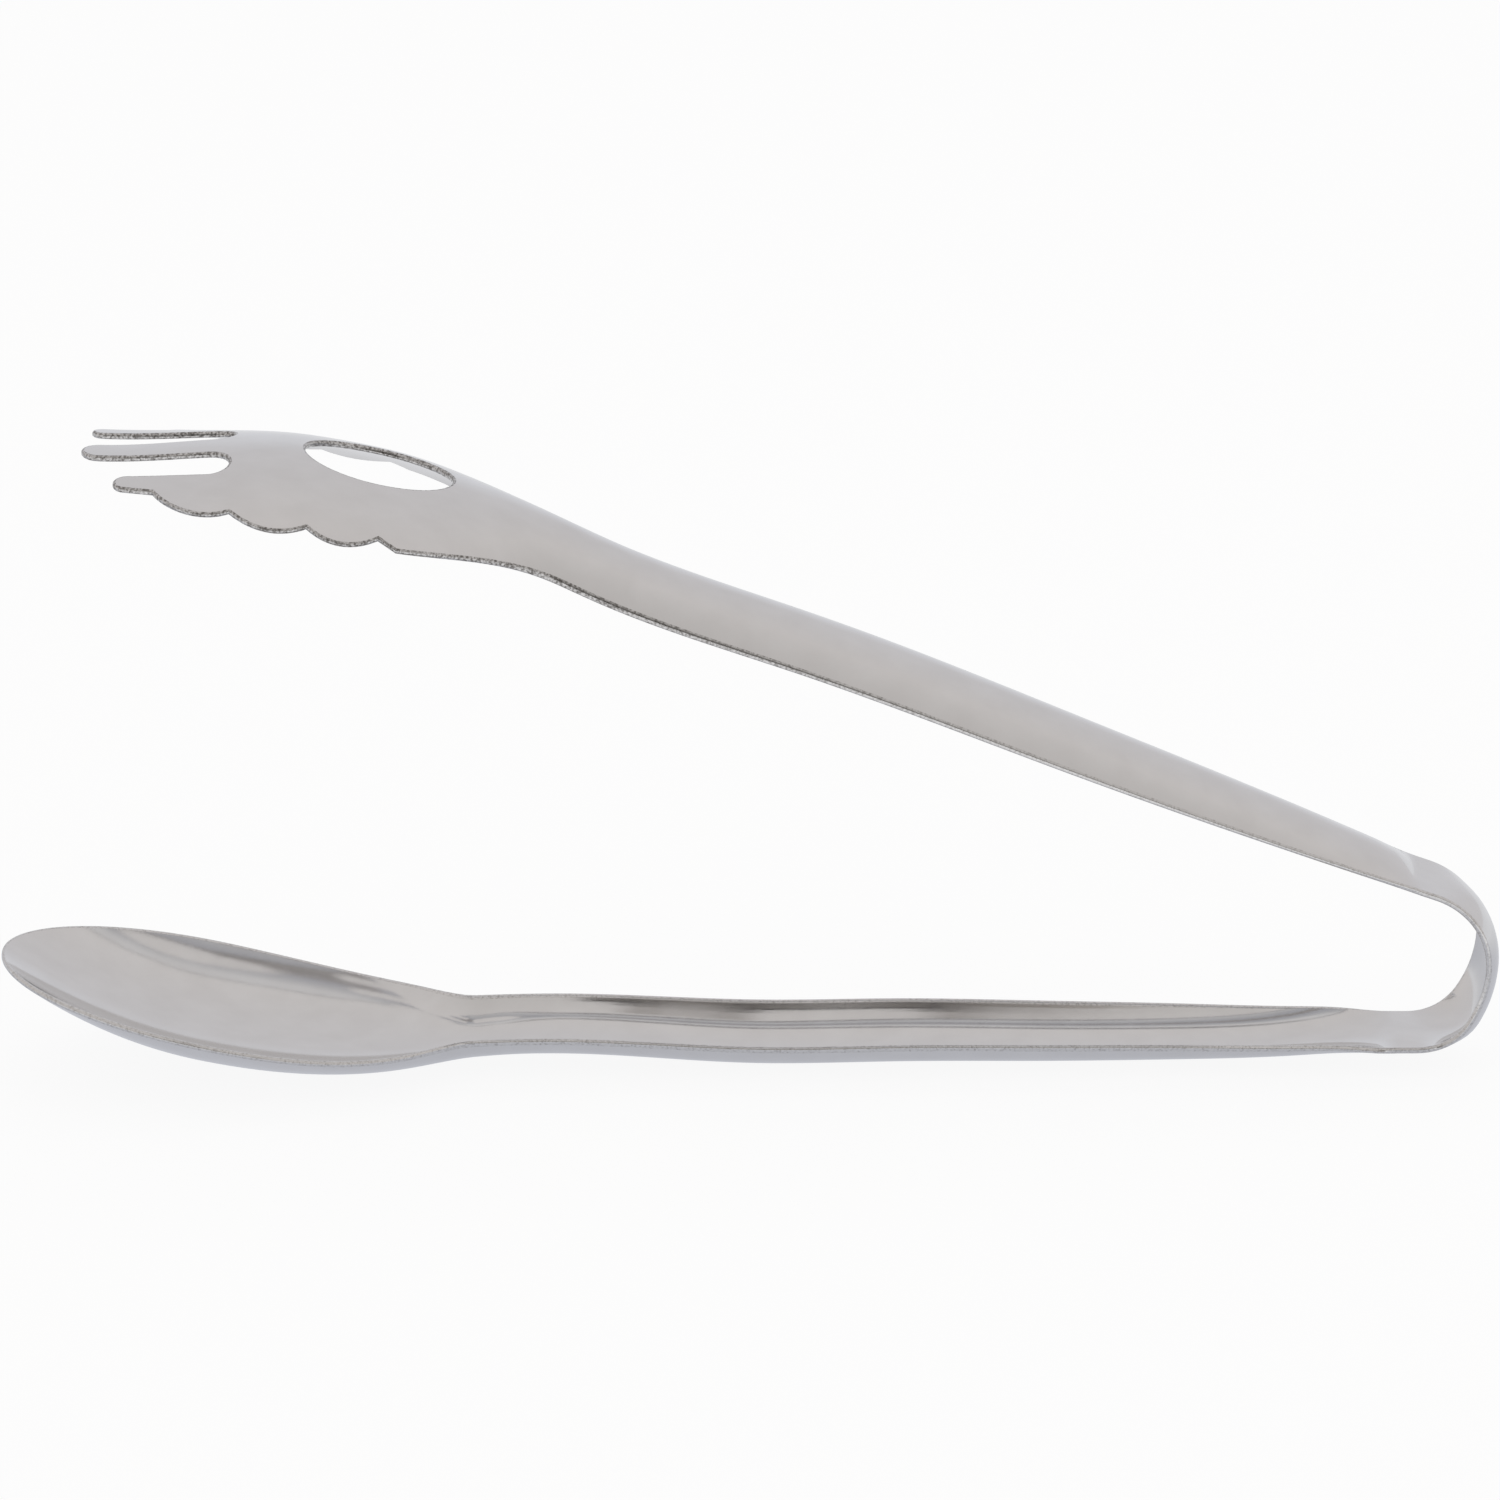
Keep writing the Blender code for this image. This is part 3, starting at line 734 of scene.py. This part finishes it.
def fork_rim(strip, start):
    runs = fork_side(strip, start, FAR_TINE_SETBACK)
    near = fork_side(strip, start, NEAR_TINE_SETBACK)
    near_tip = near[-1][-1] * (1, -1)
    runs.append(arc(runs[-1][-1], near_tip, MIDDLE_TIP_WIDTH / 2))
    runs += [run[::-1] * (1, -1) for run in near[::-1]]
    return np.vstack([resample(run, RIM_STEP) for run in runs] + [runs[-1][-1]])


def drain_hole():
    turns = np.linspace(0, 2 * math.pi, ROUND_POINTS)
    centre = FORK_LENGTH - HOLE_PLACE
    line = np.stack([centre + HOLE_LENGTH / 2 * np.cos(turns), HOLE_WIDTH / 2 * np.sin(turns)], axis=1)
    return resample(line, RIM_STEP)


# Materials


def new_material(name):
    material = bpy.data.materials.new(name)
    material.use_nodes = True
    return material, material.node_tree, material.node_tree.nodes["Principled BSDF"]


def grain_noise(tree, scale, detail):
    """Noise over the strip, stretched by a scale along it and a scale across it."""
    spot = tree.nodes.new("ShaderNodeUVMap")
    spot.uv_map = "strip"
    stretch = tree.nodes.new("ShaderNodeMapping")
    stretch.inputs["Scale"].default_value = (scale[0], scale[1], 1)
    tree.links.new(spot.outputs["UV"], stretch.inputs["Vector"])
    noise = tree.nodes.new("ShaderNodeTexNoise")
    noise.inputs["Scale"].default_value = 1
    noise.inputs["Detail"].default_value = detail
    tree.links.new(stretch.outputs["Vector"], noise.inputs["Vector"])
    return noise.outputs["Fac"]


def ramp(tree, value, stops):
    node = tree.nodes.new("ShaderNodeValToRGB")
    elements = node.color_ramp.elements
    while len(elements) < len(stops):
        elements.new(0.5)
    for element, (place, colour) in zip(elements, stops):
        element.position = place
        element.color = (*colour, 1) if isinstance(colour, tuple) else (colour, colour, colour, 1)
    tree.links.new(value, node.inputs["Fac"])
    return node.outputs["Color"]


def stretched(tree, value, ends):
    """Takes the ends of a range to 0 and 1."""
    node = tree.nodes.new("ShaderNodeMapRange")
    node.inputs["From Min"].default_value, node.inputs["From Max"].default_value = ends
    tree.links.new(value, node.inputs["Value"])
    return node.outputs["Result"]


def bumped(tree, height, bump, shader):
    """bump gives the strength and the distance."""
    node = tree.nodes.new("ShaderNodeBump")
    node.inputs["Strength"].default_value, node.inputs["Distance"].default_value = bump
    tree.links.new(height, node.inputs["Height"])
    tree.links.new(node.outputs["Normal"], shader.inputs["Normal"])


def mixed_colour(tree, share, first, second):
    """first is a plain colour or a socket, and second a socket."""
    mix = tree.nodes.new("ShaderNodeMix")
    mix.data_type = "RGBA"
    tree.links.new(share, mix.inputs["Factor"])
    if isinstance(first, tuple):
        mix.inputs[6].default_value = first
    else:
        tree.links.new(first, mix.inputs[6])
    tree.links.new(second, mix.inputs[7])
    return mix.outputs[2]


def polished_steel():
    """Satin polish: long soft grain in the roughness, hairline scratches and a faintly clouded colour."""
    material, tree, shader = new_material("polished_steel")
    shader.inputs["Metallic"].default_value = 1
    cloud = grain_noise(tree, CLOUD_SCALE, CLOUD_DETAIL)
    tree.links.new(ramp(tree, cloud, STEEL_STOPS), shader.inputs["Base Color"])
    grain = grain_noise(tree, GRAIN_SCALE, GRAIN_DETAIL)
    tree.links.new(ramp(tree, grain, STEEL_ROUGHNESS_STOPS), shader.inputs["Roughness"])
    bumped(tree, grain_noise(tree, SCRATCH_SCALE, SCRATCH_DETAIL), SCRATCH_BUMP, shader)
    return material


def cut_edge_steel_and_painted_shade():
    """The tumbled cut edge: rougher than the faces, with fine pits, and painted shade round the fork's
    head.
    """
    material, tree, shader = new_material("cut_edge_steel_and_painted_shade")
    shader.inputs["Metallic"].default_value = 1
    spot = tree.nodes.new("ShaderNodeTexCoord")
    noise = tree.nodes.new("ShaderNodeTexNoise")
    noise.inputs["Scale"].default_value = PIT_SCALE
    noise.inputs["Detail"].default_value = PIT_DETAIL
    tree.links.new(spot.outputs["Object"], noise.inputs["Vector"])
    pits = noise.outputs["Fac"]
    parts = tree.nodes.new("ShaderNodeSeparateXYZ")
    tree.links.new(spot.outputs["Object"], parts.inputs["Vector"])
    # Painted shade: above these heights the cut edge turns darker, round the fork's head
    height = stretched(tree, parts.outputs["Z"], PAINTED_SHADE_EDGE_HEIGHTS)
    tint = mixed_colour(tree, height, ramp(tree, pits, EDGE_STOPS), ramp(tree, pits, PAINTED_SHADE_HEAD_EDGE_STOPS))
    tree.links.new(tint, shader.inputs["Base Color"])
    tree.links.new(ramp(tree, pits, EDGE_ROUGHNESS_STOPS), shader.inputs["Roughness"])
    bumped(tree, pits, PIT_BUMP, shader)
    return material


def studio_floor():
    """Pale and plain. It shows as white and keeps a soft shadow; the metal mirrors it in a cooler tone with
    painted shade, darker under the object.
    """
    material, tree, shader = new_material("studio_floor")
    shader.inputs["Base Color"].default_value = FLOOR_COLOUR
    shader.inputs["Roughness"].default_value = MATT
    shader.inputs["Specular IOR Level"].default_value = FLOOR_SPECULAR
    spot = tree.nodes.new("ShaderNodeTexCoord")
    parts = tree.nodes.new("ShaderNodeSeparateXYZ")
    tree.links.new(spot.outputs["Object"], parts.inputs["Vector"])
    reach = stretched(tree, parts.outputs["Y"], FLOOR_MIRROR_REACH)
    # Painted shade in the floor's reflection: the metal mirrors it darker near the object
    mirrored_painted_shade = ramp(tree, reach, FLOOR_MIRROR_PAINTED_SHADE_STOPS)
    path = tree.nodes.new("ShaderNodeLightPath")
    glow = tree.nodes.new("ShaderNodeEmission")
    glow.inputs["Strength"].default_value = 1
    tint = mixed_colour(tree, path.outputs["Is Glossy Ray"], WHITE, mirrored_painted_shade)
    tree.links.new(tint, glow.inputs["Color"])
    seen = tree.nodes.new("ShaderNodeMath")
    seen.operation = "MAXIMUM"
    tree.links.new(path.outputs["Is Camera Ray"], seen.inputs[0])
    tree.links.new(path.outputs["Is Glossy Ray"], seen.inputs[1])
    share = tree.nodes.new("ShaderNodeMath")
    share.operation = "MULTIPLY"
    share.inputs[1].default_value = FLOOR_GLOW
    tree.links.new(seen.outputs["Value"], share.inputs[0])
    mix = tree.nodes.new("ShaderNodeMixShader")
    tree.links.new(share.outputs["Value"], mix.inputs["Fac"])
    tree.links.new(shader.outputs["BSDF"], mix.inputs[1])
    tree.links.new(glow.outputs["Emission"], mix.inputs[2])
    tree.links.new(mix.outputs["Shader"], tree.nodes["Material Output"].inputs["Surface"])
    return material


# Studio


def aim(thing, place, target):
    thing.location = place
    thing.rotation_euler = (Vector(target) - Vector(place)).to_track_quat("-Z", "Y").to_euler()


def add_camera():
    camera = bpy.data.objects.new("camera", bpy.data.cameras.new("camera"))
    bpy.context.scene.collection.objects.link(camera)
    camera.data.lens = CAMERA_LENS
    camera.data.sensor_width = SENSOR
    camera.location = CAMERA_PLACE
    camera.rotation_euler = (math.radians(90 - CAMERA_ELEVATION), 0, 0)
    bpy.context.scene.camera = camera


def add_lamp(name, place, target, size, energy, colour):
    data = bpy.data.lights.new(name, "AREA")
    data.shape = "RECTANGLE"
    data.size, data.size_y = size
    data.energy = energy
    data.color = colour
    lamp = bpy.data.objects.new(name, data)
    bpy.context.scene.collection.objects.link(lamp)
    lamp.visible_glossy = False
    aim(lamp, place, target)


def add_world():
    """White to the camera. The metal mirrors a grey room with a dark front horizon."""
    world = bpy.data.worlds.new("studio")
    bpy.context.scene.world = world
    world.use_nodes = True
    tree = world.node_tree
    sky = tree.nodes["Background"]
    spot = tree.nodes.new("ShaderNodeTexCoord")
    parts = tree.nodes.new("ShaderNodeSeparateXYZ")
    tree.links.new(spot.outputs["Generated"], parts.inputs["Vector"])
    tint = ramp(tree, stretched(tree, parts.outputs["Y"], (-1, 1)), WORLD_STOPS)
    tree.links.new(tint, sky.inputs["Color"])
    white = tree.nodes.new("ShaderNodeBackground")
    path = tree.nodes.new("ShaderNodeLightPath")
    mix = tree.nodes.new("ShaderNodeMixShader")
    tree.links.new(path.outputs["Is Camera Ray"], mix.inputs["Fac"])
    tree.links.new(sky.outputs["Background"], mix.inputs[1])
    tree.links.new(white.outputs["Background"], mix.inputs[2])
    white.inputs["Color"].default_value = WHITE
    tree.links.new(mix.outputs["Shader"], tree.nodes["World Output"].inputs["Surface"])


def add_floor():
    half = FLOOR_SIZE / 2
    mesh = bpy.data.meshes.new("floor")
    corners = [(-half, -half, 0), (half, -half, 0), (half, half, 0), (-half, half, 0)]
    mesh.from_pydata(corners, [], [(0, 1, 2, 3)])
    mesh.materials.append(studio_floor())
    floor = bpy.data.objects.new("floor", mesh)
    bpy.context.scene.collection.objects.link(floor)


def add_card(name, sides, elevations, reach, colour):
    """A narrow card high in front. The lower handle's far wall mirrors it as part of a dark band."""
    material, _, shader = new_material(name)
    shader.inputs["Base Color"].default_value = (*colour, 1)
    shader.inputs["Roughness"].default_value = MATT
    low, high = (math.radians(angle) for angle in elevations)
    points, faces = [], []
    for step, turn in enumerate(np.linspace(low, high, CARD_STEPS)):
        for side in sides:
            points.append((side, -reach * math.cos(turn), reach * math.sin(turn)))
        if step:
            first = 2 * step - 2
            faces.append((first, first + 1, first + 3, first + 2))
    mesh = bpy.data.meshes.new(name)
    mesh.from_pydata(points, [], faces)
    mesh.materials.append(material)
    card = bpy.data.objects.new(name, mesh)
    bpy.context.scene.collection.objects.link(card)
    card.visible_camera = False
    card.visible_shadow = False


# Assembly


def even_places(start, end, step):
    return np.linspace(start, end, max(int(round((end - start) / step)), 1) + 1)


def build():
    bpy.context.scene.view_settings.view_transform = "Standard"
    add_camera()
    add_world()
    add_floor()
    for card in CARDS:
        add_card(*card)
    for lamp in LAMPS:
        add_lamp(*lamp)

    materials = (polished_steel(), cut_edge_steel_and_painted_shade())
    bow = bow_strip(NECK_ROOT)
    x, z, _ = bow.line(BOW_LENGTH)
    spoon = spoon_strip(NECK_ROOT)
    fork = fork_strip((float(x), float(z)))

    builder = Builder(spoon)
    row, plan = sweep(builder, even_places(NECK_FLAT, SPOON_LENGTH - BOWL_FRONT, ROW_STEP))
    plate(builder, row, plan, spoon_rim(), [])
    piece = builder.make("spoon_sheet", materials)
    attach(piece, "spoon_arm")
    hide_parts("spoon_arm")

    builder = Builder(fork)
    start = SHOULDER_START_SHARE * FORK_LENGTH
    row, plan = sweep(builder, even_places(NECK_FLAT, start, ROW_STEP))
    plate(builder, row, plan, fork_rim(fork, start), [drain_hole()])
    piece = builder.make("fork_sheet", materials)
    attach(piece, "fork_arm")
    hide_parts("fork_arm")

    # The bow is cut half way into two pieces, which are baked in place and not attached to a body
    middle = BOW_LENGTH / 2
    halves = (
        ("lower_bow_sheet", -NECK_FLAT, middle, "spoon_arm", "spring_bow", 0),
        ("upper_bow_sheet", middle, BOW_LENGTH + NECK_FLAT, "spring_bow", "fork_arm", BOW_LENGTH),
    )
    for name, begin, end, before, after, flex in halves:
        builder = Builder(bow)
        sweep(builder, even_places(begin, end, BOW_ROW_STEP))
        piece = builder.make(name, materials)
        ends = [bow.line(flex - NECK_FLAT), bow.line(flex + NECK_FLAT)]
        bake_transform(piece)
        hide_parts("spring_bow")


build()
